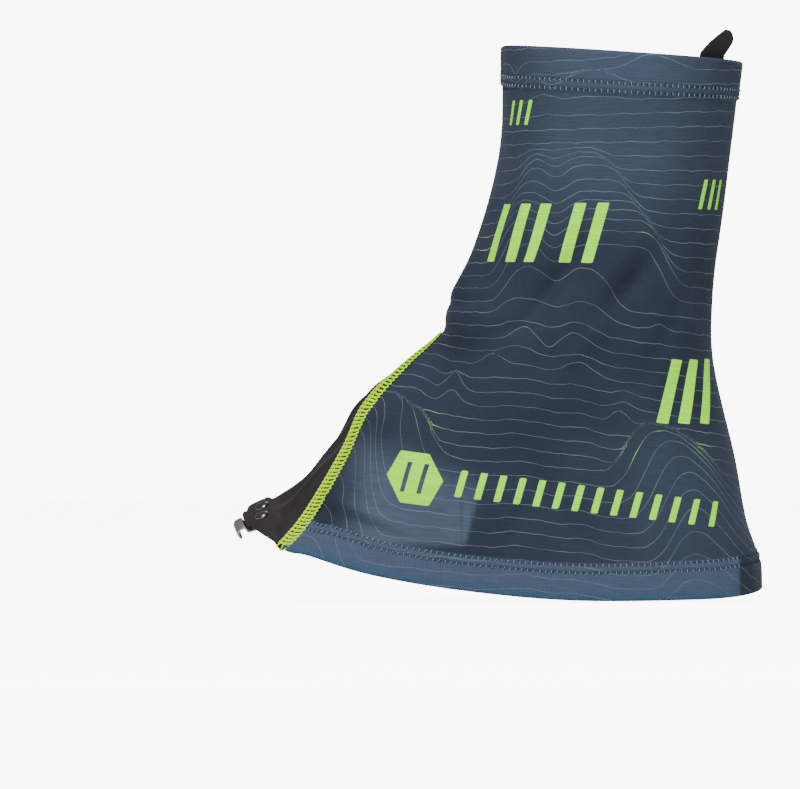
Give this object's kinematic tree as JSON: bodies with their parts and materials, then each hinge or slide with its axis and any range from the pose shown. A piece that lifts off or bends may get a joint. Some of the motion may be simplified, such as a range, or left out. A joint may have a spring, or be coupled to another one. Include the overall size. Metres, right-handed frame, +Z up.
{
  "type": "trail running gaiter",
  "caption": "Low printed stretch-fabric ankle gaiter that covers a shoe's collar, with a coated instep panel, flatlock seams, a riveted lace hook, a heel patch and a pull tab at the cuff.",
  "frame": {"origin": "on the gaiter's middle plane, level with the lowest point of the hem and below the ankle, where the shoe it is worn on stands; the joint of the leg is 12 mm in front of it and 50 mm up", "axes": "+Z up the leg, -X towards the toe, -Y towards the wearer's left, which is the outer side of this left-foot gaiter"},
  "size_m": [0.2116, 0.0858, 0.2276],
  "materials": {
    "printed_fabric": "navy stretch knit with thin pale contour lines and lime printed marks",
    "coated_fabric": "black coated cloth, soft low sheen",
    "lime_thread": "bright lime flatlock thread",
    "navy_thread": "navy and pale coverstitch thread",
    "elastic_band": "black ribbed knitted elastic",
    "loop_pile": "dark blue loop pile",
    "webbing": "black woven webbing",
    "steel": "light grey satin steel",
    "dark_steel": "dark grey polished steel"
  },
  "bodies": {
    "skirt": {"lower_panel": "printed_fabric", "hem_inner_fold": "printed_fabric", "hem_stitch_lower": "navy_thread", "hem_stitch_upper": "navy_thread", "heel_patch": "loop_pile", "instep_panel": "coated_fabric", "outer_flatlock_seam": "lime_thread", "inner_flatlock_seam": "lime_thread", "back_seam_lower": "printed_fabric", "ankle_panel": "printed_fabric", "back_seam_ankle": "printed_fabric"},
    "leg": {"upper_panel": "printed_fabric", "cuff_elastic": "elastic_band", "cuff_inner_fold": "printed_fabric", "cuff_stitch_upper": "navy_thread", "cuff_stitch_lower": "navy_thread", "back_seam_upper": "printed_fabric", "tab_sewn_end": "webbing", "tab_bartack": "navy_thread"},
    "tongue": {"hook_tongue": "coated_fabric", "tongue_backing": "webbing", "lace_hook": "steel", "outer_rivet_cap": "dark_steel", "inner_rivet_cap": "dark_steel", "outer_rivet_head": "dark_steel", "inner_rivet_head": "dark_steel"},
    "tab": {"pull_tab": "webbing"}
  },
  "joints": [
    {"name": "ankle_flex", "type": "hinge", "parent": "skirt", "child": "leg", "pos_m": [-0.012, 0, 0.05], "axis": [0, 1, 0], "range_deg": [-12, 20], "deforming": ["ankle_panel", "back_seam_ankle"]},
    {"name": "tongue_flip", "type": "hinge", "parent": "skirt", "child": "tongue", "pos_m": [-0.1447, -0.001, 0.0373], "axis": [-0.1583, 0.9272, 0.3395], "range_deg": [-10, 55]},
    {"name": "tab_fold", "type": "hinge", "parent": "leg", "child": "tab", "pos_m": [0.02832, -0.02356, 0.21724], "axis": [-0.6291, -0.7761, 0.0432], "range_deg": [-60, 45]}
  ]
}
